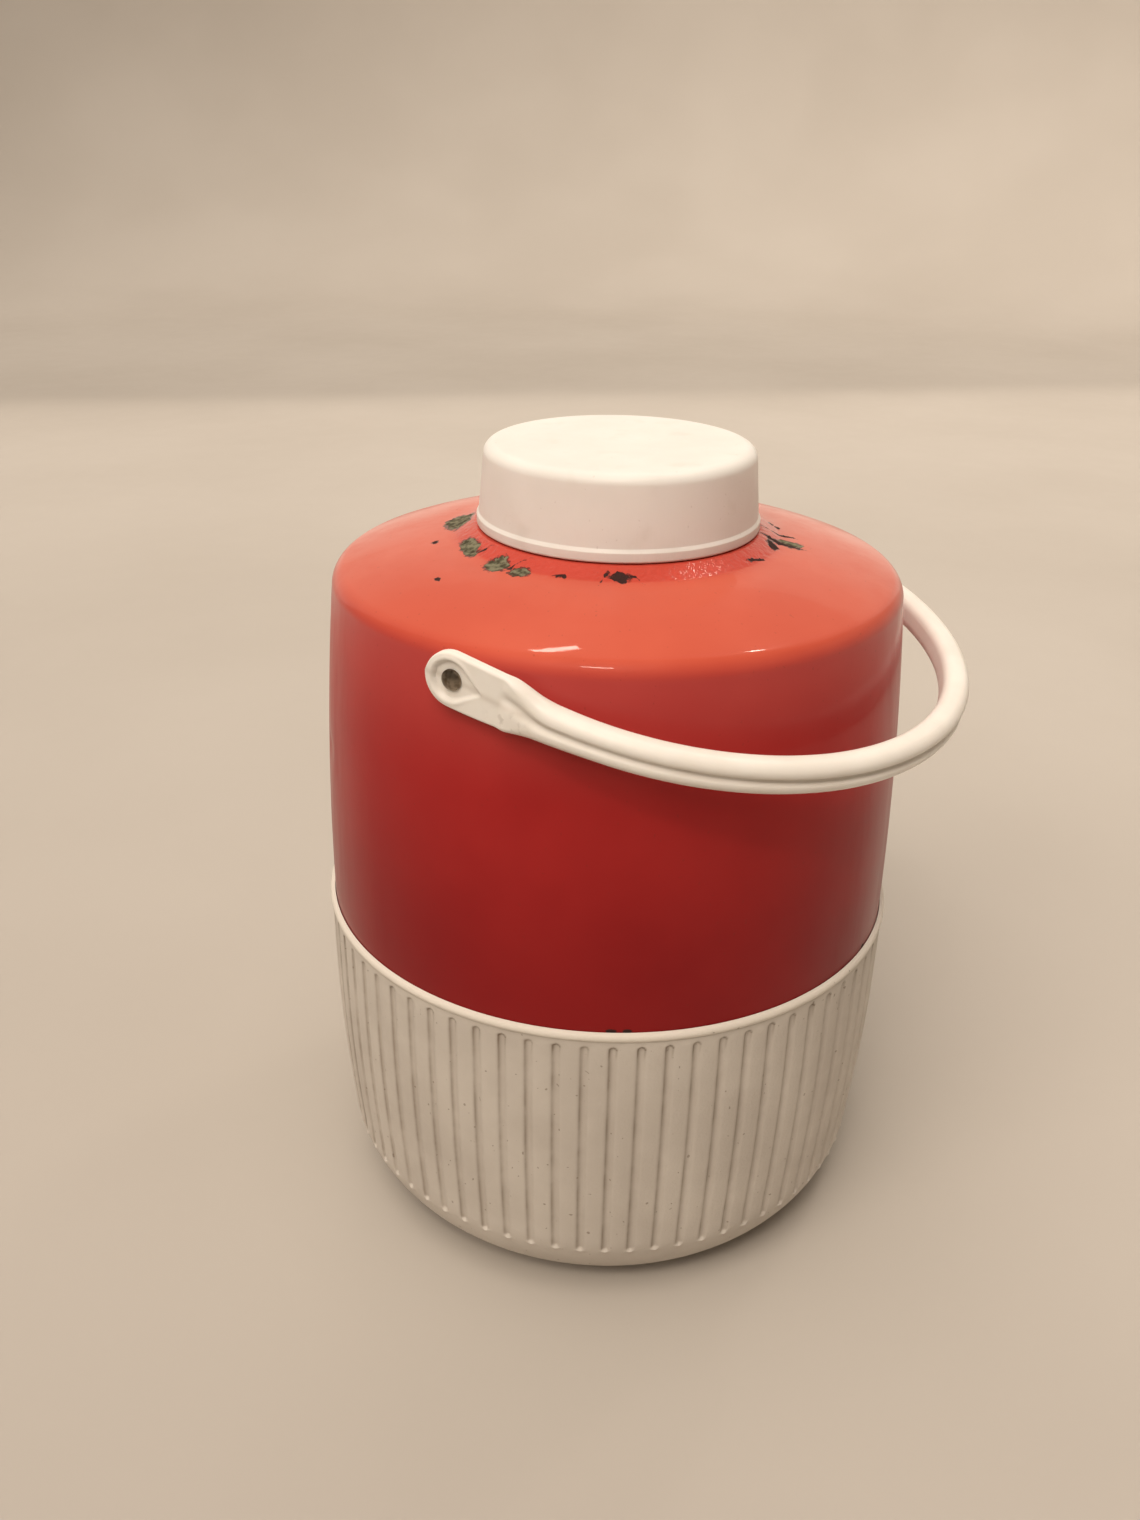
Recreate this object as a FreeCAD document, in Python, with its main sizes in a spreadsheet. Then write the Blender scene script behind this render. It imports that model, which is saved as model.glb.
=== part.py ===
import FreeCAD, Part
import math
import os
import Sketcher

# Insulated picnic jug: an enamelled steel shell on a fluted plastic base, a plastic bottle inside it
# in foam, a screw-in stopper, a screw-on drinking cup over the stopper, and a bail handle that swings
# on two rivets.
#
# Millimetres. The origin is on the jug's axis in the plane it stands on. +Z is up, the handle's rivets
# are on the X axis, and the handle hangs towards -Y.

DIMENSIONS = {
    # steel shell, outside surface
    "shell_wall": 0.6,
    "shell_radius": 107.2,
    "shell_bottom": 114.0,
    "hem_radius": 104.9,
    "barrel_bottom": 128.0,
    "barrel_curve": 1180.0,
    "shoulder_radius": 100.7,
    "shoulder_height": 252.6,
    "shoulder_round": 7.0,
    "dome_curve": 150.0,
    "collar_radius": 57.0,
    "collar_height": 263.9,
    "collar_round": 4.0,
    "mouth_radius": 50.7,
    "mouth_height": 267.2,
    "mouth_round": 1.0,
    "mouth_hole": 45.7,
    # fluted base, outside surface
    "base_wall": 2.9,
    "foot_inner": 74.0,
    "foot_outer": 84.5,
    "foot_recess": 2.0,
    "floor_top": 4.6,
    "bowl_radius": 105.2,
    "bowl_height": 33.0,
    "bowl_curve": 36.5,
    "belly_radius": 108.5,
    "belly_height": 100.0,
    "belly_curve": 703.0,
    "rim_radius": 108.5,
    "rim_height": 126.6,
    "rim_round": 0.5,
    "socket_clearance": 0.2,
    "shelf_height": 112.2,
    "flute_count": 72,
    "flute_width": 3.0,
    "flute_depth": 0.7,
    "flute_start_radius": 103.6,
    "flute_start": 25.0,
    "flute_end": 121.0,
    # gap between parts that only just touch in use
    "small_gap": 0.2,
    # bottle
    "bottle_wall": 2.5,
    "bottle_radius": 84.0,
    "bottle_bottom": 29.0,
    "bottle_corner": 14.0,
    "bottle_shoulder": 203.0,
    "bottle_curve": 44.0,
    "bottle_neck": 41.0,
    "bottle_neck_start": 240.0,
    "bottle_lip": 46.0,
    "bottle_lip_wall": 2.4,
    "bottle_top": 262.2,
    # insulation
    "foam_gap": 0.6,
    "foam_radius": 101.0,
    "foam_split": 204.0,
    "foam_floor_radius": 81.5,
    "foam_bend_radius": 93.0,
    "foam_bend_height": 13.0,
    "foam_disc_radius": 97.5,
    "cap_foam_inner": 85.0,
    "cap_foam_curve": 45.2,
    "cap_foam_radius": 100.0,
    "cap_foam_side": 228.0,
    "cap_foam_waist": 95.0,
    "cap_foam_waist_bottom": 232.0,
    "cap_foam_waist_top": 249.0,
    "cap_foam_shoulder": 90.0,
    "cap_foam_shoulder_height": 252.6,
    "cap_foam_mouth": 52.0,
    "cap_foam_mouth_bottom": 259.0,
    "cap_foam_mouth_top": 261.4,
    "cap_foam_neck_start": 241.4,
    # neck ring
    "ring_inner": 41.5,
    "ring_outer": 43.9,
    "ring_flange": 49.0,
    "ring_bottom": 263.0,
    "ring_flange_top": 265.6,
    "ring_top": 282.0,
    "gasket_inset": 0.3,
    # threads: three starts
    "thread_starts": 3,
    "thread_lead": 12.0,
    "thread_turns": 0.8,
    "thread_height": 1.4,
    "thread_root": 0.8,
    "thread_crest": 0.5,
    "thread_bite": 0.3,
    "outer_thread_start": 269.4,
    "inner_thread_start": 268.0,
    "lug_arc": 16.0,
    "lug_half": 0.65,
    "cup_lug_inner": 44.5,
    "cup_lug_outer": 48.3,
    "cup_lug_height": 271.4,
    "ring_lug_inner": 40.2,
    "ring_lug_height": 274.0,
    # stopper
    "plug_wall": 2.0,
    "plug_bottom": 240.0,
    "plug_nose": 37.5,
    "plug_step": 263.5,
    "plug_step_rise": 1.5,
    "plug_radius": 39.5,
    "plug_flange": 43.6,
    "plug_flange_bottom": 283.2,
    "plug_top": 285.4,
    "dish_floor": 271.6,
    "dish_floor_wall": 2.4,
    "grip_half_length": 36.0,
    "grip_half_width": 6.0,
    "grip_drop": 0.8,
    # cup
    "cup_wall": 2.2,
    "cup_rim": 49.1,
    "cup_bead": 49.8,
    "cup_bead_height": 3.6,
    "cup_bottom": 267.5,
    "cup_top_radius": 47.0,
    "cup_top": 295.6,
    "cup_roof": 2.5,
    "cup_round": 4.2,
    "cup_rib_inner": 41.8,
    "cup_rib_outer": 43.4,
    "cup_rib_bottom": 287.2,
    # handle, in its own plane: the span runs along X, the reach along -Y
    "pivot_height": 244.5,
    "handle_droop": 12.3,
    "handle_span": 102.8,
    "handle_start": 32.4,
    "handle_side_curve": 82.0,
    "handle_reach": 124.7,
    "grip_thickness": 4.5,
    "grip_height": 5.5,
    "grip_corner": 3.0,
    "groove_half": 1.1,
    "groove_depth": 1.3,
    "groove_slope": 0.3,
    "strap_inside": 103.3,
    "strap_thickness": 3.6,
    "strap_half": 9.5,
    "strap_end": 18.0,
    "strap_corner": 0.8,
    "eye_recess": 6.4,
    "eye_recess_depth": 1.4,
    "eye_hole": 2.47,
    # rivets and what they clamp
    "rivet_radius": 2.4,
    "rivet_hole": 2.6,
    "rivet_head": 3.9,
    "rivet_head_rim": 0.5,
    "rivet_head_crown": 2.2,
    "rivet_head_flat": 0.7,
    "rivet_head_curve": 4.6,
    "rivet_gap": 0.1,
    "rivet_tail": 4.2,
    "rivet_tail_thickness": 1.5,
    "rivet_tail_bevel": 0.5,
    "plate_inside": 98.0,
    "plate_thickness": 1.4,
    "plate_half_width": 8.0,
    "plate_below": 11.0,
    "plate_above": 4.0,
    "washer_inside": 102.45,
    "washer_thickness": 0.7,
    "washer_radius": 6.5,
}

doc = FreeCAD.newDocument("PicnicJug")
sheet = doc.addObject("Spreadsheet::Sheet", "dims")
for row, (cell_name, cell_value) in enumerate(DIMENSIONS.items(), start=1):
    sheet.set(f"A{row}", cell_name)
    sheet.set(f"B{row}", str(cell_value))
    sheet.setAlias(f"B{row}", cell_name)
doc.recompute()

sub_parts = []


# ---- sizes written as sums of cells, such as "ring_outer + thread_height" ----

def value_of(text):
    """The number that a sum of cells and numbers stands for."""
    total = 0.0
    sign = 1.0
    for word in text.split():
        if word in ("+", "-"):
            sign = 1.0 if word == "+" else -1.0
        elif word in DIMENSIONS:
            total += sign * DIMENSIONS[word]
        else:
            total += sign * float(word)
    return total


def formula(text):
    """The same sum as an expression on the spreadsheet."""
    words = [f"dims.{word}" if word in DIMENSIONS else word for word in text.split()]
    if words[0] == "-":
        words.insert(0, "0")
    return " ".join(words)


# ---- sketches ----

def origin_plane(body, role):
    for feature in body.Origin.OriginFeatures:
        if feature.Role == role:
            return feature
    raise ValueError(f"{body.Label} has no {role}")


def new_sketch(body, name, role, offset=None):
    """An empty sketch on one of the body's planes, moved along that plane's normal by the offset."""
    sketch = body.newObject("Sketcher::SketchObject", name)
    sketch.AttachmentSupport = [(origin_plane(body, role), "")]
    sketch.MapMode = "FlatFace"
    if offset is not None:
        sketch.setExpression(".AttachmentOffset.Base.z", formula(offset))
    return sketch


def pin_point(sketch, geometry, end, corner):
    """Hold one end of a line or arc at a corner whose two coordinates are sums of cells."""
    for kind, axis, text in (("DistanceX", -2, corner[0]), ("DistanceY", -1, corner[1])):
        if value_of(text) == 0.0:
            sketch.addConstraint(Sketcher.Constraint("PointOnObject", geometry, end, axis))
            continue
        constraint = Sketcher.Constraint(kind, -1, 1, geometry, end, value_of(text))
        index = sketch.addConstraint(constraint)
        sketch.setExpression(f"Constraints[{index}]", formula(text))


def arc_between(start, end, radius, centre_on_left):
    """The short arc from start to end. FreeCAD's arcs always run anticlockwise."""
    chord = end - start
    rise = math.sqrt(max(radius ** 2 - chord.Length ** 2 / 4, 0.0))
    left = FreeCAD.Vector(-chord.y, chord.x, 0).normalize()
    centre = start + chord * 0.5 + left * (rise if centre_on_left else -rise)
    first, last = (start, end) if centre_on_left else (end, start)
    first_angle = math.atan2(first.y - centre.y, first.x - centre.x)
    last_angle = math.atan2(last.y - centre.y, last.x - centre.x)
    if last_angle < first_angle:
        last_angle += 2 * math.pi
    circle = Part.Circle(centre, FreeCAD.Vector(0, 0, 1), radius)
    return Part.ArcOfCircle(circle, first_angle, last_angle)


def draw(sketch, corners, closed=True):
    """Draw an outline. A corner is (x, y), reached by a line, or (x, y, radius, side), reached by an
    arc whose centre is on that side of the way it runs."""
    points = [FreeCAD.Vector(value_of(corner[0]), value_of(corner[1]), 0) for corner in corners]
    ends = []
    order = range(len(corners)) if closed else range(1, len(corners))
    for index in order:
        corner = corners[index]
        start, end = points[index - 1], points[index]
        if len(corner) == 2:
            geometry = sketch.addGeometry(Part.LineSegment(start, end), False)
            ends.append((geometry, 1, 2))
        else:
            radius, side = corner[2:]
            arc = arc_between(start, end, value_of(radius), side == "left")
            geometry = sketch.addGeometry(arc, False)
            ends.append((geometry, 1, 2) if side == "left" else (geometry, 2, 1))
    for index, (geometry, _, last) in zip(order, ends):
        pin_point(sketch, geometry, last, corners[index])
    if not closed:
        pin_point(sketch, ends[0][0], ends[0][1], corners[0])
    for place, (geometry, first, _) in enumerate(ends):
        if place == 0 and not closed:
            continue
        before, _, before_last = ends[place - 1]
        sketch.addConstraint(Sketcher.Constraint("Coincident", before, before_last, geometry, first))
    for index, (geometry, _, _) in zip(order, ends):
        if len(corners[index]) == 4:
            radius = corners[index][2]
            place = sketch.addConstraint(Sketcher.Constraint("Radius", geometry, value_of(radius)))
            sketch.setExpression(f"Constraints[{place}]", formula(radius))
    return sketch


def draw_circle(sketch, radius, height="0"):
    """A circle on the sketch's vertical axis."""
    centre = FreeCAD.Vector(0, value_of(height), 0)
    circle = Part.Circle(centre, FreeCAD.Vector(0, 0, 1), value_of(radius))
    geometry = sketch.addGeometry(circle, False)
    pin_point(sketch, geometry, 3, ("0", height))
    place = sketch.addConstraint(Sketcher.Constraint("Radius", geometry, value_of(radius)))
    sketch.setExpression(f"Constraints[{place}]", formula(radius))
    return sketch


def rounded_box(left, right, bottom, top, corner):
    """The outline of a rectangle with four round corners, anticlockwise from its bottom right."""
    return [
        (f"{right} - {corner}", bottom),
        (right, f"{bottom} + {corner}", corner, "left"),
        (right, f"{top} - {corner}"),
        (f"{right} - {corner}", top, corner, "left"),
        (f"{left} + {corner}", top),
        (left, f"{top} - {corner}", corner, "left"),
        (left, f"{bottom} + {corner}"),
        (f"{left} + {corner}", bottom, corner, "left"),
    ]


# ---- solids ----

def new_body(name):
    body = doc.addObject("PartDesign::Body", name)
    body.Label = name
    sub_parts.append(body)
    return body


def revolve(body, sketch, name, axis="V_Axis", angle=360.0):
    """Turn a sketch about one of its own axes. A part turn is centred on the sketch."""
    feature = body.newObject("PartDesign::Revolution", name)
    feature.Profile = sketch
    feature.ReferenceAxis = (sketch, [axis])
    feature.Angle = angle
    feature.Midplane = angle < 360.0
    return feature


def turned(name, corners):
    """A body turned about Z from an outline of (radius, height) corners."""
    body = new_body(name)
    sketch = draw(new_sketch(body, f"{name}_outline", "XZ_Plane"), corners)
    revolve(body, sketch, f"{name}_turned")
    return body


def ring(name, inner, outer, bottom, top):
    return turned(name, [(inner, bottom), (outer, bottom), (outer, top), (inner, top)])


def pad(body, sketch, name, length):
    feature = body.newObject("PartDesign::Pad", name)
    feature.Profile = sketch
    feature.setExpression("Length", formula(length))
    return feature


def cut_through(body, sketch, name):
    """Cut a sketch right through the body, both ways from the sketch."""
    feature = body.newObject("PartDesign::Pocket", name)
    feature.Profile = sketch
    feature.Type = "ThroughAll"
    feature.SideType = "Symmetric"
    return feature


def pattern_round(body, feature, name, count):
    """Repeat a feature evenly round the Z axis."""
    pattern = body.newObject("PartDesign::PolarPattern", name)
    pattern.Originals = [feature]
    pattern.Axis = (origin_plane(body, "Z_Axis"), [""])
    pattern.Angle = 360.0
    pattern.setExpression("Occurrences", f"dims.{count}")
    body.Tip = pattern
    return pattern


def mirror_left(body, features, name):
    """Repeat features on the -X side."""
    mirrored = body.newObject("PartDesign::Mirrored", name)
    mirrored.Originals = features
    mirrored.MirrorPlane = (origin_plane(body, "YZ_Plane"), [""])
    body.Tip = mirrored
    return mirrored


def round_edges(body, name, radius, places):
    """Round the circular edges that have these radii and heights."""
    doc.recompute()
    base = body.Tip
    edge_names = []
    for edge_radius, edge_height in places:
        for number, edge in enumerate(base.Shape.Edges, start=1):
            if not isinstance(edge.Curve, Part.Circle):
                continue
            same_radius = abs(edge.Curve.Radius - value_of(edge_radius)) < 0.01
            if same_radius and abs(edge.Curve.Center.z - value_of(edge_height)) < 0.01:
                edge_names.append(f"Edge{number}")
    feature = body.newObject("PartDesign::Fillet", name)
    feature.Base = (base, edge_names)
    feature.setExpression("Radius", formula(radius))
    return feature


def add_ridges(body, name, wall, side, start):
    """Helical ridges round a wall, one for each thread start. Side is + for outside the wall."""
    inward = "-" if side == "+" else "+"
    sketch = draw(new_sketch(body, f"{name}_section", "XZ_Plane"), [
        (f"{wall} {inward} thread_bite", f"{start} - thread_root"),
        (f"{wall} {side} thread_height", f"{start} - thread_crest"),
        (f"{wall} {side} thread_height", f"{start} + thread_crest"),
        (f"{wall} {inward} thread_bite", f"{start} + thread_root"),
    ])
    helix = body.newObject("PartDesign::AdditiveHelix", name)
    helix.Profile = sketch
    helix.ReferenceAxis = (sketch, ["V_Axis"])
    helix.Mode = "pitch-turns-angle"
    helix.setExpression("Pitch", "dims.thread_lead")
    helix.setExpression("Turns", "dims.thread_turns")
    pattern_round(body, helix, f"{name}_starts", "thread_starts")


def add_lugs(body, name, inner, outer, height):
    """Short lugs that run between the ridges of the mating thread."""
    sketch = draw(new_sketch(body, f"{name}_section", "XZ_Plane"), [
        (inner, f"{height} - lug_half"),
        (outer, f"{height} - lug_half"),
        (outer, f"{height} + lug_half"),
        (inner, f"{height} + lug_half"),
    ])
    lug = revolve(body, sketch, name, angle=DIMENSIONS["lug_arc"])
    pattern_round(body, lug, f"{name}_set", "thread_starts")


# ---- steel shell ----

def make_outer_shell():
    """Drawn steel: a hemmed skirt, a barrel side, a shallow dome and a raised collar at the mouth."""
    wall = "shell_wall"
    body = turned("outer_shell", [
        ("hem_radius", "shell_bottom"),
        ("shell_radius", "shell_bottom"),
        ("shell_radius", "barrel_bottom"),
        ("shoulder_radius", "shoulder_height", "barrel_curve", "left"),
        ("collar_radius", "collar_height", "dome_curve", "left"),
        ("mouth_radius", "mouth_height"),
        ("mouth_hole", "mouth_height"),
        ("mouth_hole", f"mouth_height - {wall}"),
        (f"mouth_radius - {wall}", f"mouth_height - {wall}"),
        (f"collar_radius - {wall}", f"collar_height - {wall}"),
        (f"shoulder_radius - {wall}", f"shoulder_height - {wall}", f"dome_curve - {wall}", "right"),
        (f"shell_radius - {wall}", "barrel_bottom", f"barrel_curve - {wall}", "right"),
        (f"shell_radius - {wall}", f"shell_bottom + {wall}"),
        ("hem_radius", f"shell_bottom + {wall}"),
    ])
    round_edges(body, "shoulder_outside", "shoulder_round", [("shoulder_radius", "shoulder_height")])
    round_edges(body, "shoulder_inside", f"shoulder_round - {wall}", [
        (f"shoulder_radius - {wall}", f"shoulder_height - {wall}"),
    ])
    round_edges(body, "collar_foot", "collar_round", [
        ("collar_radius", "collar_height"),
        (f"collar_radius - {wall}", f"collar_height - {wall}"),
    ])
    round_edges(body, "mouth_edge", "mouth_round", [("mouth_radius", "mouth_height")])
    holes = draw_circle(new_sketch(body, "rivet_holes", "YZ_Plane"), "rivet_hole", "pivot_height")
    cut_through(body, holes, "rivet_hole_cut")


# ---- fluted base ----

def make_base_cup():
    """A moulded bowl with a foot ring, shallow flutes up its side, and a socket for the shell's hem."""
    socket = "shell_radius + socket_clearance"
    inner = "belly_radius - base_wall"
    bowl_inner = "bowl_radius - base_wall"
    body = turned("base_cup", [
        ("0", "foot_recess"),
        ("foot_inner - foot_recess", "foot_recess"),
        ("foot_inner", "0"),
        ("foot_outer", "0"),
        ("bowl_radius", "bowl_height", "bowl_curve", "left"),
        ("belly_radius", "belly_height", "belly_curve", "left"),
        ("rim_radius", "rim_height"),
        (socket, "rim_height"),
        (socket, "shelf_height"),
        (inner, "shelf_height"),
        (inner, "belly_height"),
        (bowl_inner, "bowl_height", "belly_curve - base_wall", "right"),
        ("foot_outer", "floor_top", "bowl_curve - base_wall", "right"),
        ("0", "floor_top"),
    ])
    round_edges(body, "rim_edge", "rim_round", [("rim_radius", "rim_height")])
    doc.recompute()
    smooth_volume = body.Shape.Volume
    sketch = draw(new_sketch(body, "flute_section", "XZ_Plane"), [
        ("flute_start_radius", "flute_start"),
        ("bowl_radius - flute_depth", "bowl_height", "bowl_curve", "left"),
        ("belly_radius - flute_depth", "belly_height", "belly_curve", "left"),
        ("rim_radius - flute_depth", "flute_end"),
        ("rim_radius + flute_depth", "flute_end"),
        ("rim_radius + flute_depth", "flute_start"),
    ])
    flute = body.newObject("PartDesign::Pocket", "flute")
    flute.Profile = sketch
    flute.Type = "Length"
    flute.SideType = "Symmetric"
    flute.setExpression("Length", "dims.flute_width")
    pattern_round(body, flute, "flutes", "flute_count")
    doc.recompute()
    if body.Shape.Volume >= smooth_volume:
        raise ValueError("the flutes cut nothing")
    ring("seam_seal", inner, "shell_radius", "shelf_height", "shell_bottom")


# ---- bottle and insulation ----

def make_bottle():
    """Blow-moulded bottle with a wide neck and a clamped lip."""
    inner = "bottle_radius - bottle_wall"
    neck_inner = "bottle_neck - bottle_wall"
    lip_bottom = "bottle_top - bottle_lip_wall"
    body = turned("inner_bottle", [
        ("0", "bottle_bottom"),
        ("bottle_radius", "bottle_bottom"),
        ("bottle_radius", "bottle_shoulder"),
        ("bottle_neck", "bottle_neck_start", "bottle_curve", "left"),
        ("bottle_neck", lip_bottom),
        ("bottle_lip", lip_bottom),
        ("bottle_lip", "bottle_top"),
        (neck_inner, "bottle_top"),
        (neck_inner, "bottle_neck_start - bottle_wall"),
        (inner, "bottle_shoulder", "bottle_curve - bottle_wall", "right"),
        (inner, "bottle_bottom + bottle_wall"),
        ("0", "bottle_bottom + bottle_wall"),
    ])
    round_edges(body, "bottom_outside", "bottle_corner", [("bottle_radius", "bottle_bottom")])
    round_edges(body, "bottom_inside", "bottle_corner - bottle_wall", [
        (inner, "bottle_bottom + bottle_wall"),
    ])
    ring("bottle_seal", "ring_inner", "bottle_lip", "bottle_top", "ring_bottom")


def make_insulation():
    """Three foam pieces: a disc under the bottle, a sleeve round it, and a ring over its shoulder."""
    inner = "bottle_radius + foam_gap"
    turned("insulation_base", [
        ("0", "floor_top + foam_gap"),
        ("foam_floor_radius", "floor_top + foam_gap"),
        ("foam_bend_radius", "foam_bend_height"),
        ("foam_disc_radius", "bottle_bottom - foam_gap"),
        ("0", "bottle_bottom - foam_gap"),
    ])
    ring("insulation_sleeve", inner, "foam_radius", "bottle_bottom - foam_gap", "foam_split")
    turned("insulation_shoulder", [
        ("cap_foam_inner", "foam_split + foam_gap", "cap_foam_curve", "right"),
        ("cap_foam_radius", "foam_split + foam_gap"),
        ("cap_foam_radius", "cap_foam_side"),
        ("cap_foam_waist", "cap_foam_waist_bottom"),
        ("cap_foam_waist", "cap_foam_waist_top"),
        ("cap_foam_shoulder", "cap_foam_shoulder_height"),
        ("cap_foam_mouth", "cap_foam_mouth_top"),
        ("cap_foam_mouth", "cap_foam_mouth_bottom"),
        ("bottle_neck + foam_gap", "cap_foam_mouth_bottom"),
        ("bottle_neck + foam_gap", "cap_foam_neck_start"),
    ])


# ---- neck ----

def make_neck():
    """Ring clamped under the shell's mouth: ridges outside for the cup, lugs inside for the stopper."""
    body = turned("neck_ring", [
        ("ring_inner", "ring_bottom"),
        ("ring_flange", "ring_bottom"),
        ("ring_flange", "ring_flange_top"),
        ("ring_outer", "ring_flange_top"),
        ("ring_outer", "ring_top"),
        ("ring_inner", "ring_top"),
    ])
    add_ridges(body, "cup_thread", "ring_outer", "+", "outer_thread_start")
    add_lugs(body, "stopper_lug", "ring_lug_inner", "ring_inner + thread_bite", "ring_lug_height")
    ring("neck_gasket", "ring_outer + gasket_inset", "ring_flange - gasket_inset", "ring_flange_top",
         "mouth_height - shell_wall")


# ---- stopper ----

def make_stopper():
    """Hollow threaded plug, the foam in it, the dished cap with its finger grip, and the gasket."""
    nose_inner = "plug_nose - plug_wall"
    inner = "plug_radius - plug_wall"
    body = turned("stopper_plug", [
        ("0", "plug_bottom"),
        ("plug_nose", "plug_bottom"),
        ("plug_nose", "plug_step"),
        ("plug_radius", "plug_step + plug_step_rise"),
        ("plug_radius", "plug_flange_bottom"),
        ("plug_flange", "plug_flange_bottom"),
        ("plug_flange", "plug_top"),
        (inner, "plug_top"),
        (inner, "plug_step + plug_step_rise"),
        (nose_inner, "plug_step"),
        (nose_inner, "plug_bottom + plug_wall"),
        ("0", "plug_bottom + plug_wall"),
    ])
    round_edges(body, "nose_edge", "plug_wall", [("plug_nose", "plug_bottom")])
    add_ridges(body, "stopper_thread", "plug_radius", "+", "inner_thread_start")
    turned("stopper_foam", [
        ("0", "plug_bottom + plug_wall"),
        (f"{nose_inner} - small_gap", "plug_bottom + plug_wall"),
        (f"{nose_inner} - small_gap", "plug_step"),
        (f"{inner} - small_gap", "plug_step + plug_step_rise + small_gap"),
        (f"{inner} - small_gap", "dish_floor"),
        ("0", "dish_floor"),
    ])
    dish_inner = f"{inner} - plug_wall"
    cap = turned("stopper_cap", [
        ("0", "dish_floor"),
        (inner, "dish_floor"),
        (inner, "plug_top"),
        (dish_inner, "plug_top"),
        (dish_inner, "dish_floor + dish_floor_wall"),
        ("0", "dish_floor + dish_floor_wall"),
    ])
    grip_sketch = draw(new_sketch(cap, "grip_outline", "XY_Plane", "dish_floor"), [
        ("- grip_half_length", "- grip_half_width"),
        ("grip_half_length", "- grip_half_width"),
        ("grip_half_length", "grip_half_width"),
        ("- grip_half_length", "grip_half_width"),
    ])
    pad(cap, grip_sketch, "finger_grip", "plug_top - grip_drop - dish_floor")
    ring("stopper_gasket", "ring_inner + small_gap", "plug_flange", "ring_top", "plug_flange_bottom")


# ---- cup ----

def make_cup():
    """Drinking cup worn upside down: a tapered wall with a beaded lip, lugs, and a rib for the seal."""
    rim_inner = "cup_rim - cup_wall"
    roof_inner = "cup_top_radius - cup_wall"
    ceiling = "cup_top - cup_roof"
    body = turned("cup", [
        (rim_inner, "cup_bottom"),
        ("cup_bead", "cup_bottom"),
        ("cup_bead", "cup_bottom + cup_bead_height"),
        ("cup_rim", "cup_bottom + cup_bead_height"),
        ("cup_top_radius", "cup_top"),
        ("0", "cup_top"),
        ("0", ceiling),
        ("cup_rib_inner", ceiling),
        ("cup_rib_inner", "cup_rib_bottom"),
        ("cup_rib_outer", "cup_rib_bottom"),
        ("cup_rib_outer", ceiling),
        (roof_inner, ceiling),
    ])
    round_edges(body, "top_edge", "cup_round", [("cup_top_radius", "cup_top")])
    add_lugs(body, "cup_lug", "cup_lug_inner", "cup_lug_outer", "cup_lug_height")
    ring("cup_seal", "cup_rib_inner - small_gap", "cup_rib_outer + small_gap",
         "plug_top + small_gap", "cup_rib_bottom - small_gap")


# ---- handle and its rivets ----

def make_handle():
    """A grooved grip bent in one plane that flattens into a strap and an eye at each rivet."""
    body = new_body("handle")
    side = value_of("handle_side_curve")
    span = value_of("handle_span")
    depth = value_of("handle_reach - handle_start")
    front = ((span - side) ** 2 + depth ** 2 - side ** 2) / (2 * (depth - side))
    turn = math.atan2(span - side, front - depth)
    joint_x = span - side + side * math.sin(turn)
    joint_y = -(value_of("handle_start") + side * math.cos(turn))
    spine = new_sketch(body, "grip_spine", "XY_Plane")
    draw(spine, [
        ("handle_span", "- handle_start"),
        (f"{joint_x}", f"{joint_y}", "handle_side_curve", "right"),
        (f"-{joint_x}", f"{joint_y}", f"{front}", "right"),
        ("- handle_span", "- handle_start", "handle_side_curve", "right"),
    ], closed=False)
    inside = "handle_span - grip_thickness"
    outside = "handle_span + grip_thickness"
    groove_floor = f"{outside} - groove_depth"
    box = rounded_box(inside, outside, "- grip_height", "grip_height", "grip_corner")
    grooved = box[:2] + [
        (outside, "- groove_half"),
        (groove_floor, "- groove_half + groove_slope"),
        (groove_floor, "groove_half - groove_slope"),
        (outside, "groove_half"),
    ] + box[2:]
    section = draw(new_sketch(body, "grip_section", "XZ_Plane", "handle_start"), grooved)
    grip = body.newObject("PartDesign::AdditivePipe", "grip")
    grip.Profile = section
    grip.Spine = (spine, ["Edge1", "Edge2", "Edge3"])
    grip_end = draw(new_sketch(body, "grip_end", "XZ_Plane", "handle_start"), box)
    strap_outside = "strap_inside + strap_thickness"
    strap_end = draw(
        new_sketch(body, "strap_end_section", "XZ_Plane", "strap_end"),
        rounded_box("strap_inside", strap_outside, "- strap_half", "strap_half", "strap_corner"),
    )
    taper = body.newObject("PartDesign::AdditiveLoft", "taper")
    taper.Profile = grip_end
    taper.Sections = [strap_end]
    eye_outline = draw(new_sketch(body, "eye_outline", "YZ_Plane", "strap_inside"), [
        ("- strap_end", "- strap_half"),
        ("0", "- strap_half"),
        ("strap_half", "0", "strap_half", "left"),
        ("0", "strap_half", "strap_half", "left"),
        ("- strap_end", "strap_half"),
    ])
    eye = pad(body, eye_outline, "eye", "strap_thickness")
    mirror_left(body, [taper, eye], "left_side")
    recess_sketch = new_sketch(body, "recess_outline", "YZ_Plane", f"{strap_outside} - eye_recess_depth")
    draw_circle(recess_sketch, "eye_recess")
    recess = body.newObject("PartDesign::Pocket", "recess")
    recess.Profile = recess_sketch
    recess.Reversed = True
    recess.setExpression("Length", "dims.eye_recess_depth")
    mirror_left(body, [recess], "left_recess")
    hole = draw_circle(new_sketch(body, "eye_hole_outline", "YZ_Plane"), "eye_hole")
    cut_through(body, hole, "eye_holes")
    body.setExpression(".Placement.Base.z", "dims.pivot_height")
    body.Placement = FreeCAD.Placement(
        FreeCAD.Vector(0, 0, value_of("pivot_height")),
        FreeCAD.Rotation(FreeCAD.Vector(1, 0, 0), value_of("handle_droop")),
    )


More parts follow.
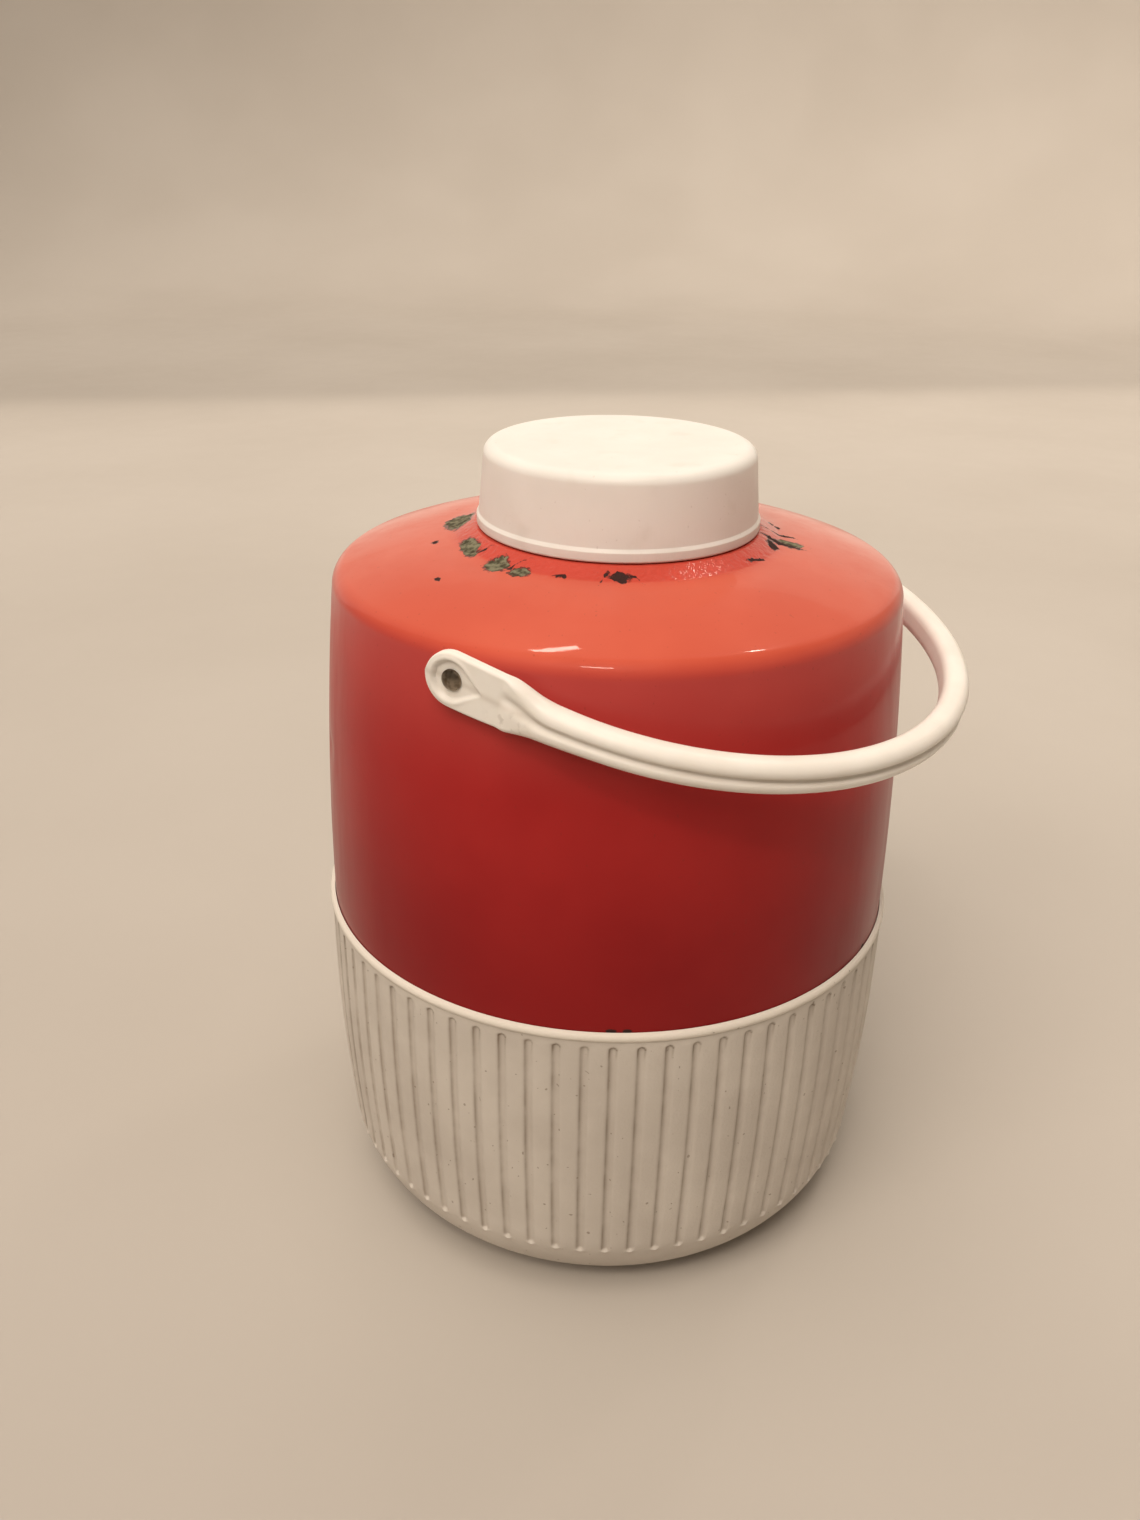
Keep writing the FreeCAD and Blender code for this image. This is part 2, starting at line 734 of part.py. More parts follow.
def make_rivets():
    """Both rivets: a crowned head in the handle's eye, and a tail on the plate inside the shell."""
    head_bottom = "strap_inside + strap_thickness - eye_recess_depth + rivet_gap"
    body = doc.addObject("PartDesign::Body", "rivet_right")
    sketch = draw(new_sketch(body, "rivet_outline", "XY_Plane"), [
        ("plate_inside - rivet_tail_thickness", "0"),
        ("plate_inside - rivet_tail_thickness", "rivet_tail - rivet_tail_bevel"),
        ("plate_inside - rivet_tail_bevel", "rivet_tail"),
        ("plate_inside", "rivet_tail"),
        ("plate_inside", "rivet_radius"),
        (head_bottom, "rivet_radius"),
        (head_bottom, "rivet_head"),
        (f"{head_bottom} + rivet_head_rim", "rivet_head"),
        (f"{head_bottom} + rivet_head_crown", "rivet_head_flat", "rivet_head_curve", "left"),
        (f"{head_bottom} + rivet_head_crown", "0"),
    ])
    revolve(body, sketch, "rivet_turned", axis="H_Axis")
    body.setExpression(".Placement.Base.z", "dims.pivot_height")
    left = doc.addObject("Part::Mirroring", "rivet_left")
    left.Source = body
    left.Normal = FreeCAD.Vector(1, 0, 0)
    both = doc.addObject("Part::Compound", "handle_rivets")
    both.Links = [body, left]
    both.Label = "handle_rivets"
    sub_parts.append(both)


def make_side_hardware():
    """A spacer washer outside and a backing plate inside the shell, on each side."""
    for side, angle in (("right", 0.0), ("left", 180.0)):
        washer = new_body(f"spacer_washer_{side}")
        disc = draw_circle(new_sketch(washer, "disc", "YZ_Plane", "washer_inside"), "washer_radius")
        pad(washer, disc, "washer_disc", "washer_thickness")
        plate = new_body(f"backing_plate_{side}")
        outline = draw(new_sketch(plate, "plate_outline", "YZ_Plane", "plate_inside"), [
            ("- plate_half_width", "- plate_below"),
            ("plate_half_width", "- plate_below"),
            ("plate_half_width", "plate_above"),
            ("- plate_half_width", "plate_above"),
        ])
        pad(plate, outline, "plate_sheet", "plate_thickness")
        for body in (washer, plate):
            hole = draw_circle(new_sketch(body, "bolt_hole", "YZ_Plane"), "rivet_hole")
            cut_through(body, hole, "rivet_hole_cut")
            body.Placement = FreeCAD.Placement(
                FreeCAD.Vector(0, 0, value_of("pivot_height")),
                FreeCAD.Rotation(FreeCAD.Vector(0, 0, 1), angle),
            )


make_outer_shell()
make_base_cup()
make_bottle()
make_insulation()
make_neck()
make_stopper()
make_cup()
make_handle()
make_rivets()
make_side_hardware()
doc.recompute()

for item in doc.Objects:
    if "Invalid" in item.State or "Error" in item.State:
        raise RuntimeError(f"{item.Name} failed: {item.State}")

os.makedirs("parts", exist_ok=True)
for sub_part in sub_parts:
    shape = sub_part.Shape
    if shape.isNull() or not shape.isValid():
        raise RuntimeError(f"{sub_part.Label} has no valid shape")
    shape.exportStep(f"parts/{sub_part.Label}.step")
    print(sub_part.Label, len(shape.Solids), round(shape.Volume / 1000.0, 2), "cm3")
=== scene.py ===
import math

import bmesh
import bpy
from mathutils import Matrix, Vector, noise


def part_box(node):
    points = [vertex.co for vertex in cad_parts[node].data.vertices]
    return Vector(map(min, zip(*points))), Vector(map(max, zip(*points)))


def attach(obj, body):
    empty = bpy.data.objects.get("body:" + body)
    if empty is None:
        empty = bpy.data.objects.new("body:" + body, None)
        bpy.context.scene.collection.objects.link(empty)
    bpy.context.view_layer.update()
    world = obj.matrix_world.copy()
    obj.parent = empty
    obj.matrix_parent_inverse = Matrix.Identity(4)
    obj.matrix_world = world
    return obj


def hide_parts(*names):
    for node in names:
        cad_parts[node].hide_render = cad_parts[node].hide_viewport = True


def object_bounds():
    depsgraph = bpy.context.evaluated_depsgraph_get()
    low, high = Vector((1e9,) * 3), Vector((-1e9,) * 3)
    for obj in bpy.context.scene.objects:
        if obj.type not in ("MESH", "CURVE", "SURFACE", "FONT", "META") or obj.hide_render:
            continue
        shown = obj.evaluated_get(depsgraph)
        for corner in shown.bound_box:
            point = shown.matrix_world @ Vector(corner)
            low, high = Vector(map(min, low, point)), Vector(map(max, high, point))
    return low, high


# Insulated picnic jug. Sizes are in millimetres and turned into metres when a mesh is made. The jug's axis
# is Z, its rivets are on the X axis, and its handle hangs towards -Y.

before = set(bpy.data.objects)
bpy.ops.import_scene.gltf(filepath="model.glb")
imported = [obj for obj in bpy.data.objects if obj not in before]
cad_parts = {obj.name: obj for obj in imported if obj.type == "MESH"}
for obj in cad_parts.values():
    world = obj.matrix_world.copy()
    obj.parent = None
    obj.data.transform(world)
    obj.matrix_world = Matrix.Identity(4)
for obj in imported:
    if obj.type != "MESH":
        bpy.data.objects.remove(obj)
cad_low, cad_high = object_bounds()

MM = 0.001
SEGMENTS = 288
MAX_TURN = 0.12  # radians between the points of a curve

# steel shell
SHELL_WALL = 0.6
SHELL_RADIUS = 107.2
SHELL_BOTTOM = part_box("outer_shell")[0].z / MM
COLLAR_FOOT = (57.0, 263.9)
MOUTH = (50.7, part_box("outer_shell")[1].z / MM)

# fluted base
BASE_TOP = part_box("base_cup")[1].z / MM
BASE_RADIUS = 108.5
SOCKET_RADIUS = 107.45
LIP_BOTTOM = 123.2
FLUTES = 72
FLUTE_SHIFT = -0.8  # degrees
FLUTE_TOP = 121.4
FLUTE_BOTTOM = 25.0
FLUTE_ARCH = 60.0  # a flute's ends curve by this times the square of the place across it, in pitches
FLUTE_DEPTH = 0.75
NUB_HEIGHT = 0.75
RIB_CROWN = 0.3  # from a rib's edges to its middle
RIB_INSET = 0.1  # from the base's radius in to a rib's edges
SIDE_START = 86.0  # the foot and the underside are inside this radius

# cup
CUP_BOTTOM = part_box("cup")[0].z / MM
CUP_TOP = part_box("cup")[1].z / MM
LUG_AZIMUTHS = (0.0, 120.0, 240.0)
LUG_HALF_TURN = 8.0  # degrees
LUG_HEIGHT = 271.4
LUG_HALF_HEIGHT = 0.7
LUG_RADIUS = 44.6

# handle, which is straight near the rivets and then half an ellipse
PIVOT_HEIGHT = 244.5
HANDLE_DROOP = 12.3  # degrees below level at rest
HANDLE_SPAN = 102.8  # from the axis to the middle of the grip at its sides
HANDLE_START = 32.4  # where the straight part ends
HANDLE_REACH = 124.7
EYE_RADIUS = 9.05
GRIP_RADIUS = 5.5
GRIP_OUTSIDE = 5.0  # outward from the handle's own line
GRIP_INSIDE = -4.2
STRAP_INSIDE = 103.3
STRAP_OUTSIDE = 106.7
FACE_POINTS = 45  # across the outer face
CORNER_STEPS = 6
INSIDE_STEPS = 8
RIVET_RECESS = 1.3
RIVET_HEAD = 3.45
RIVET_SHANK = 2.4
RIVET_SEGMENTS = 56


# ---- meshes ----

def finish_mesh(name, points, faces, sharp_degrees=38.0):
    """A smooth-shaded object from points in millimetres, with edges over this angle left sharp."""
    mesh = bpy.data.meshes.new(name)
    mesh.from_pydata([Vector(point) * MM for point in points], [], faces)
    work = bmesh.new()
    work.from_mesh(mesh)
    bmesh.ops.recalc_face_normals(work, faces=work.faces)
    work.to_mesh(mesh)
    work.free()
    mesh.shade_smooth()
    mesh.set_sharp_from_angle(angle=math.radians(sharp_degrees))
    obj = bpy.data.objects.new(name, mesh)
    bpy.context.scene.collection.objects.link(obj)
    return obj


def rounded(corners, spacing):
    """Points along a line through corners (x, y) or (x, y, radius), which rounds the corner."""
    line = [Vector(corners[0][:2])]
    for index in range(1, len(corners)):
        corner = Vector(corners[index][:2])
        radius = corners[index][2] if len(corners[index]) == 3 else 0.0
        curve = [corner]
        if radius and index < len(corners) - 1:
            before = (Vector(corners[index - 1][:2]) - corner).normalized()
            after = (Vector(corners[index + 1][:2]) - corner).normalized()
            half = before.angle(after) / 2
            centre = corner + (before + after).normalized() * radius / math.sin(half)
            reach = radius / math.tan(half)
            arm = corner + before * reach - centre
            last = corner + after * reach - centre
            turn = math.atan2(arm.cross(last), arm.dot(last))
            count = max(3, math.ceil(abs(turn) * radius / spacing), math.ceil(abs(turn) / MAX_TURN))
            curve = [centre + Matrix.Rotation(turn * step / count, 2) @ arm for step in range(count + 1)]
        start = line[-1]
        count = max(1, math.ceil((curve[0] - start).length / spacing))
        line += [start.lerp(curve[0], step / count) for step in range(1, count)]
        line += curve
    return line


def arc(first, last, radius, spacing):
    """Points of an arc that bends to the left on its way from first to last, without the first."""
    start = Vector(first)
    end = Vector(last)
    chord = end - start
    across = Vector((-chord.y, chord.x)).normalized()
    centre = (start + end) / 2 + across * math.sqrt(radius ** 2 - (chord.length / 2) ** 2)
    turn = 2 * math.asin(chord.length / 2 / radius)
    count = max(math.ceil(turn * radius / spacing), math.ceil(turn / MAX_TURN))
    arm = start - centre
    return [centre + Matrix.Rotation(turn * step / count, 2) @ arm for step in range(1, count + 1)]


def spin(name, outline, azimuths, shape=None, sharp_degrees=38.0):
    """A closed surface: an outline of (radius, height) turned about Z. shape moves a point of it."""
    points = []
    rings = []
    for radius, height in outline:
        if radius < 1e-6:
            rings.append([len(points)] * len(azimuths))
            points.append((0.0, 0.0, height))
            continue
        rings.append(list(range(len(points), len(points) + len(azimuths))))
        for azimuth in azimuths:
            out, up = shape(radius, height, azimuth) if shape else (radius, height)
            angle = math.radians(azimuth)
            points.append((out * math.cos(angle), out * math.sin(angle), up))
    faces = []
    for lower, upper in zip(rings, rings[1:] + rings[:1]):
        for index in range(len(azimuths)):
            after = (index + 1) % len(azimuths)
            face = list(dict.fromkeys((lower[index], lower[after], upper[after], upper[index])))
            if len(face) > 2:
                faces.append(face)
    return finish_mesh(name, points, faces, sharp_degrees)


def even_azimuths(count):
    return [360.0 * index / count for index in range(count)]


def smooth_step(low, high, value):
    share = min(max((value - low) / (high - low), 0.0), 1.0)
    return share * share * (3.0 - 2.0 * share)


def azimuth_gap(first, second):
    """The turn from the second azimuth to the first, from -180 to 180 degrees."""
    return (first - second + 180.0) % 360.0 - 180.0


def blend(first, second, share):
    return first + (second - first) * share


def bell(value, middle, width):
    """1 at the middle, falling smoothly to nothing on both sides."""
    return math.exp(-((value - middle) / width) ** 2)


def place_in_flute(azimuth):
    """How far round from the middle of the nearest flute, in pitches, from -0.5 to 0.5."""
    return ((azimuth - FLUTE_SHIFT) * FLUTES / 360.0 + 0.5) % 1.0 - 0.5


# ---- enamelled shell ----

DENTS = [  # azimuth, height, reach round the shell, reach up it, depth
    (134.5, 191.0, 5.0, 4.0, 0.7),
    (20.0, 165.0, 26.0, 17.0, 0.5),
    (-38.0, 214.0, 18.0, 10.0, 0.35),
    (95.0, 150.0, 14.0, 18.0, 0.3),
]


def dented(radius, height, azimuth):
    """The shell isn't perfectly round: slow waves from the drawing press, and a few small dents."""
    angle = math.radians(azimuth)
    waves_round = 1.6
    waves_up = 0.012
    wave_height = 0.12
    place = Vector((math.cos(angle) * waves_round, math.sin(angle) * waves_round, height * waves_up))
    out = radius + wave_height * noise.noise(place)
    for dent_azimuth, dent_height, around, up, depth in DENTS:
        across = math.radians(azimuth_gap(azimuth, dent_azimuth)) * radius / around
        along = (height - dent_height) / up
        out -= depth * math.exp(-across * across - along * along)
    return out, height


def make_shell():
    """The shell's outside from the seam to the mouth, and its inside one wall away."""
    seam = (SHELL_RADIUS, 128.0)
    side_end = (101.05, 248.0)
    dome_start = (96.4, 254.3)
    dome_end = (63.0, 262.9)
    mouth_radius = 46.2
    side_curve = 1180.0
    shoulder_curve = 7.0
    dome_curve = 150.0
    outside = rounded([(SHELL_RADIUS, SHELL_BOTTOM), seam], 1.6)
    outside += arc(seam, side_end, side_curve, 1.6)
    outside += arc(side_end, dome_start, shoulder_curve, 0.6)
    outside += arc(dome_start, dome_end, dome_curve, 1.2)
    outside += rounded([dome_end, (*COLLAR_FOOT, 3.0), (*MOUTH, 1.2), (mouth_radius, MOUTH[1])], 0.8)[1:]
    inside = [point - Vector((SHELL_WALL, SHELL_WALL)) for point in reversed(outside[:-1])]
    inside = [point for point in inside if point.x > mouth_radius + 0.8]
    inside[-1].y = SHELL_BOTTOM
    inside.insert(0, Vector((mouth_radius, MOUTH[1] - SHELL_WALL)))
    shell = spin("enamel_shell", outside + inside, even_azimuths(SEGMENTS), dented)
    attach(shell, "jug")
    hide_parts("outer_shell")
    return shell


# ---- fluted base ----

# columns of points across one flute and half a rib on each side, in pitches, closest at the groove's edges
RIB_COLUMNS = (-0.5, -0.38, -0.27, -0.19, -0.13, -0.07, 0.0, 0.07, 0.13, 0.19, 0.27, 0.38)


def fluted(radius, height, azimuth):
    """Wide ribs with a gentle crown between narrow grooves that stop short, with a nub under each."""
    if radius < SIDE_START or height > LIP_BOTTOM:
        return radius, height
    place = place_in_flute(azimuth)
    arch = FLUTE_ARCH * place * place
    top = 1.0 - smooth_step(FLUTE_TOP - 1.0, FLUTE_TOP - 0.2, height + arch)
    bottom = smooth_step(FLUTE_BOTTOM, FLUTE_BOTTOM + 0.9, height - arch)
    groove = 1.0 - smooth_step(0.04, 0.18, abs(place))
    rib = (1.0 - smooth_step(FLUTE_TOP - 1.5, LIP_BOTTOM, height)) * smooth_step(14.0, 30.0, height)
    crown = RIB_CROWN * math.cos(math.pi * (abs(place) - 0.5)) ** 2
    nub = NUB_HEIGHT * bell(place, 0.0, 0.15) * bell(height, FLUTE_BOTTOM - 0.2, 0.6)
    return radius + nub + (crown - RIB_INSET) * rib - FLUTE_DEPTH * groove * top * bottom, height


def fine_near_flute_ends(points):
    """Every fourth point, counted back from the last, and every one near the flutes' lower ends."""
    kept = [
        point for index, point in enumerate(reversed(points))
        if index % 4 == 0 or abs(point.y - FLUTE_BOTTOM - 1.0) < 2.5
    ]
    return kept[::-1]


def make_base():
    """The base from the middle of its underside, up its side and over the lip, to its floor inside."""
    foot = (84.5, 0.0)
    bowl = (105.2, 33.0)
    belly = (BASE_RADIUS, 100.0)
    lip_foot = (BASE_RADIUS - 0.05, LIP_BOTTOM)
    lip_top = (BASE_RADIUS + 0.1, BASE_TOP - 0.4)
    ledge = 112.2
    wall_inside = 105.6
    outline = rounded([(0.0, 2.0), (72.0, 2.0), (74.0, 0.0, 0.6), foot], 12.0)
    outline += fine_near_flute_ends(arc(foot, bowl, 36.5, 0.45))
    outline += arc(bowl, belly, 703.0, 5.0)
    outline += rounded([belly, (BASE_RADIUS, FLUTE_TOP - 2.0)], 5.0)[1:]
    outline += rounded([(BASE_RADIUS, FLUTE_TOP - 1.7), lip_foot], 0.3)
    outline += arc(lip_foot, lip_top, 1.9, 0.4)
    outline += rounded([
        (SOCKET_RADIUS, BASE_TOP - 0.1, 0.2),
        (SOCKET_RADIUS, ledge),
        (wall_inside, ledge),
        (wall_inside, 100.0),
    ], 4.0)
    outline += rounded([(102.2, 31.0), (98.0, 14.0), (84.5, 4.6), (0.0, 4.6)], 12.0)
    azimuths = [
        (flute + column) * 360.0 / FLUTES + FLUTE_SHIFT
        for flute in range(FLUTES) for column in RIB_COLUMNS
    ]
    base = spin("fluted_base", outline, azimuths, fluted, 50.0)
    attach(base, "jug")
    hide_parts("base_cup")
    return base


# ---- cup ----

def lugged(radius, height, azimuth):
    """Three lugs stand in from the cup's wall to run between the neck's ridges."""
    nearest = min(abs(azimuth_gap(azimuth, lug)) for lug in LUG_AZIMUTHS)
    on_inner_wall = 46.0 < radius < 47.2
    if on_inner_wall and abs(height - LUG_HEIGHT) < LUG_HALF_HEIGHT and nearest < LUG_HALF_TURN:
        return LUG_RADIUS, height
    return radius, height


def make_cup():
    """The upturned cup, from the middle of its top down, then up inside past the rib that meets the seal."""
    ceiling = CUP_TOP - 2.5
    rib_bottom = 287.2
    outline = rounded([
        (0.0, CUP_TOP - 0.1),
        (38.0, CUP_TOP - 0.1),
        (41.0, CUP_TOP, 12.0),
        (47.0, CUP_TOP, 4.2),
        (49.05, CUP_BOTTOM + 4.6, 0.8),
        (49.8, CUP_BOTTOM + 3.4, 0.8),
        (49.8, CUP_BOTTOM, 0.9),
        (47.0, CUP_BOTTOM, 0.5),
        (46.95, LUG_HEIGHT - LUG_HALF_HEIGHT),
        (46.95, LUG_HEIGHT - LUG_HALF_HEIGHT + 0.05),
        (46.9, LUG_HEIGHT + LUG_HALF_HEIGHT - 0.05),
        (46.9, LUG_HEIGHT + LUG_HALF_HEIGHT),
        (45.0, ceiling, 2.0),
        (43.4, ceiling),
        (43.4, rib_bottom, 0.3),
        (41.8, rib_bottom, 0.3),
        (41.8, ceiling),
        (0.0, ceiling),
    ], 1.4)
    cup = spin("drinking_cup", outline, even_azimuths(SEGMENTS), lugged)
    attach(cup, "cup_body")
    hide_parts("cup")
    return cup


# ---- handle ----

def handle_line():
    """Stations along the bail: a point, the outward direction, and the distance from the near rivet."""
    eye_steps = 14
    strap_steps = 90
    grip_steps = 150
    distances = [-EYE_RADIUS * math.cos(math.pi / 2 * step / eye_steps) for step in range(eye_steps)]
    distances += [HANDLE_START * step / strap_steps for step in range(strap_steps)]
    stations = [
        (Vector((HANDLE_SPAN, -distance)), Vector((1.0, 0.0)), distance)
        for distance in distances
    ]
    depth = HANDLE_REACH - HANDLE_START
    travelled = HANDLE_START
    last = Vector((HANDLE_SPAN, -HANDLE_START))
    for step in range(grip_steps + 1):
        angle = math.pi / 2 * step / grip_steps
        point = Vector((
            HANDLE_SPAN * math.cos(angle),
            -HANDLE_START - depth * math.sin(angle),
        ))
        travelled += (point - last).length
        last = point
        outward = Vector((depth * math.cos(angle), -HANDLE_SPAN * math.sin(angle))).normalized()
        stations.append((point, outward, travelled))
    mirrored = [
        (Vector((-point.x, point.y)), Vector((-outward.x, outward.y)), distance)
        for point, outward, distance in reversed(stations[:-1])
    ]
    return stations + mirrored


def teardrop(distance, across):
    """How far a point is inside the recess round the rivet, which runs out to a tip along the strap."""
    radius = 6.2
    tip = 11.0
    side = math.asin(radius / tip)
    circle = radius - math.hypot(distance, across)
    if distance < radius * math.sin(side):
        return circle
    return max(circle, (tip - distance) * math.sin(side) - abs(across) * math.cos(side))


def face_sink(distance, across, middle):
    """How far the outer face is sunk: a teardrop round the rivet, then a groove between two beads."""
    sink = 0.0
    if distance < 16.0:
        inside = teardrop(distance, across + middle)
        rim = 0.3 * bell(inside, -1.1, 0.6) * (1.0 - smooth_step(2.0, 9.0, distance))
        sink = RIVET_RECESS * smooth_step(-0.45, 0.45, inside) - rim
    groove_middle = 1.8 * (1.0 - smooth_step(17.0, 34.0, distance))
    groove_width = blend(2.0, 1.15, smooth_step(16.0, 40.0, distance))
    groove_depth = 1.6 * smooth_step(16.5, 21.5, distance)
    return sink + groove_depth * bell(across, groove_middle, groove_width)


def corner_points(out, across, radius, first_degrees, steps):
    """Points of a quarter circle about (out, across), at these steps of its turn."""
    points = []
    for step in steps:
        angle = math.radians(first_degrees + 90.0 * step / CORNER_STEPS)
        points.append((out + radius * math.cos(angle), across + radius * math.sin(angle)))
    return points


def handle_section(distance):
    """Section points (outward, across), round from the lower end of the outer face.

    distance is from the rivet along the handle. The strap turns into the grip between 16 and 52 mm.
    """
    upper = blend(EYE_RADIUS, GRIP_RADIUS, smooth_step(19.0, 35.0, distance))
    lower = -blend(EYE_RADIUS, GRIP_RADIUS, smooth_step(0.0, 52.0, distance))
    if distance < 0.0:
        least = 0.15
        upper = max(math.sqrt(max(EYE_RADIUS ** 2 - distance ** 2, 0.0)), least)
        lower = -upper
    roundness = smooth_step(18.0, 30.0, distance)
    outside = blend(STRAP_OUTSIDE - HANDLE_SPAN, GRIP_OUTSIDE, smooth_step(17.0, 21.5, distance))
    inside = blend(STRAP_INSIDE - HANDLE_SPAN, GRIP_INSIDE, smooth_step(16.0, 36.0, distance))
    middle = (upper + lower) / 2
    half_width = (upper - lower) / 2
    corner = min(blend(1.0, 3.9, roundness), half_width * 0.8)
    inner_corner = min(blend(0.6, 3.6, roundness), half_width * 0.8)
    flat = half_width - corner
    inner_flat = half_width - inner_corner
    quarter = range(CORNER_STEPS + 1)
    section = []
    for index in range(FACE_POINTS):
        across = flat * (2.0 * index / (FACE_POINTS - 1) - 1.0)
        section.append((outside - face_sink(distance, across, middle), middle + across))
    section += corner_points(outside - corner, middle + flat, corner, 0.0, quarter[1:])
    section += corner_points(inside + inner_corner, middle + inner_flat, inner_corner, 90.0, quarter)
    for index in range(1, INSIDE_STEPS):
        section.append((inside, middle + inner_flat * (1.0 - 2.0 * index / INSIDE_STEPS)))
    section += corner_points(inside + inner_corner, middle - inner_flat, inner_corner, 180.0, quarter)
    section += corner_points(outside - corner, middle - flat, corner, 270.0, quarter[:-1])
    return section


# from the handle's own plane to the jug, in millimetres, and back
HANDLE_TO_JUG = (
    Matrix.Translation((0.0, 0.0, PIVOT_HEIGHT)) @ Matrix.Rotation(math.radians(HANDLE_DROOP), 4, "X")
)
JUG_TO_HANDLE = HANDLE_TO_JUG.inverted()


def make_handle():
    """The section swept along the handle's line, from one eye to the other."""
    points = []
    rings = []
    for centre, outward, distance in handle_line():
        section = handle_section(distance)
        rings.append(range(len(points), len(points) + len(section)))
        for out, across in section:
            flat = centre + outward * out
            points.append(HANDLE_TO_JUG @ Vector((flat.x, flat.y, across)))
    faces = [list(rings[0]), list(rings[-1])]
    for lower, upper in zip(rings, rings[1:]):
        for index in range(len(lower)):
            after = (index + 1) % len(lower)
            faces.append((lower[index], lower[after], upper[after], upper[index]))
    handle = finish_mesh("bail_handle", points, faces, 42.0)
    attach(handle, "bail")
    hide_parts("handle")
    return handle


def make_rivets():
    """A domed head in each eye, with its shank and the tail inside the shell."""
    head_bottom = STRAP_OUTSIDE - RIVET_RECESS - 0.1
    tail_top = 98.0
    outline = rounded([
        (0.0, head_bottom + 2.2),
        (1.5, head_bottom + 2.1, 4.0),
        (RIVET_HEAD, head_bottom + 0.9, 0.8),
        (RIVET_HEAD, head_bottom, 0.3),
        (RIVET_SHANK, head_bottom),
        (RIVET_SHANK, tail_top),
        (4.2, tail_top),
        (4.0, tail_top - 1.4, 0.4),
        (0.0, tail_top - 1.5),
    ], 0.4)
    rivets = []
    for name, turn in (("rivet_right", 90.0), ("rivet_left", -90.0)):
        rivet = spin(name, outline, even_azimuths(RIVET_SEGMENTS))
        place = Matrix.Translation((0.0, 0.0, PIVOT_HEIGHT * MM))
        rivet.data.transform(place @ Matrix.Rotation(math.radians(turn), 4, "Y"))
        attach(rivet, "jug")
        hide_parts("handle_rivets")
        rivets.append(rivet)
    return rivets


# ---- materials ----

# the Mix node's sockets by number, because its colour and vector sockets have the same names
MIX_SHARE = 0
MIX_VECTORS = (4, 5)
MIX_VECTOR = 1
MIX_COLOURS = (6, 7)
MIX_COLOUR = 2


class Material:
    """A principled material whose nodes are added one call at a time. Lengths are in metres."""

    def __init__(self, name, **constants):
        self.data = bpy.data.materials.new(name)
        self.data.use_nodes = True
        self.tree = self.data.node_tree
        self.shader = self.tree.nodes["Principled BSDF"]
        self.place = self.add("TexCoord").outputs["Object"]
        for key, value in constants.items():
            self.shader.inputs[key.replace("_", " ")].default_value = value

    def add(self, kind, inputs=None, **settings):
        node = self.tree.nodes.new(f"ShaderNode{kind}")
        for key, value in settings.items():
            setattr(node, key, value)
        for key, value in (inputs or {}).items():
            if isinstance(value, bpy.types.NodeSocket):
                self.tree.links.new(value, node.inputs[key])
            else:
                node.inputs[key].default_value = value
        return node

    def set(self, key, output):
        self.tree.links.new(output, self.shader.inputs[key])

    def noise(self, size, detail=2.0, place=None, roughness=0.5):
        """Soft noise from 0 to 1 whose features are about this size."""
        inputs = {
            "Vector": place or self.place,
            "Scale": 1.0 / size,
            "Detail": detail,
            "Roughness": roughness,
        }
        return self.add("TexNoise", inputs).outputs["Fac"]

    def cells(self, size, output):
        """Irregular cells of about this size: the distance to each one's middle, or its Position."""
        return self.add("TexVoronoi", {"Vector": self.place, "Scale": 1.0 / size}).outputs[output]

    def stretched(self, x, y, z):
        return self.add("Mapping", {"Vector": self.place, "Scale": (x, y, z)}).outputs[0]

    def math(self, operation, first, second=0.0, third=0.0):
        return self.add("Math", {0: first, 1: second, 2: third}, operation=operation).outputs[0]

    def length(self, vector):
        return self.add("VectorMath", {0: vector}, operation="LENGTH").outputs["Value"]

    def between(self, value, low, high, start=0.0, end=1.0):
        """The value from low to high, mapped smoothly to start to end."""
        inputs = {"Value": value, "From Min": low, "From Max": high, "To Min": start, "To Max": end}
        return self.add("MapRange", inputs, interpolation_type="SMOOTHSTEP").outputs[0]

    def mix(self, share, first, second):
        """A colour from first to second. Each is an output or three numbers."""
        inputs = {MIX_SHARE: share}
        for socket, colour in zip(MIX_COLOURS, (first, second)):
            inputs[socket] = colour if isinstance(colour, bpy.types.NodeSocket) else (*colour, 1.0)
        return self.add("Mix", inputs, data_type="RGBA").outputs[MIX_COLOUR]

    def pull(self, share, place, towards):
        """A place that is moved by this share of the way towards another."""
        inputs = {MIX_SHARE: share, MIX_VECTORS[0]: place, MIX_VECTORS[1]: towards}
        return self.add("Mix", inputs, data_type="VECTOR").outputs[MIX_VECTOR]

    def height(self):
        return self.add("SeparateXYZ", {0: self.place}).outputs["Z"]

    def bump(self, height, distance, under=None):
        inputs = {"Height": height, "Distance": distance}
        if under is not None:
            inputs["Normal"] = under
        return self.add("Bump", inputs).outputs["Normal"]


def on_shell(azimuth, radius, height):
    """A place on the jug, in metres, from degrees and millimetres."""
    angle = math.radians(azimuth)
    return Vector((radius * math.cos(angle), radius * math.sin(angle), height)) * MM


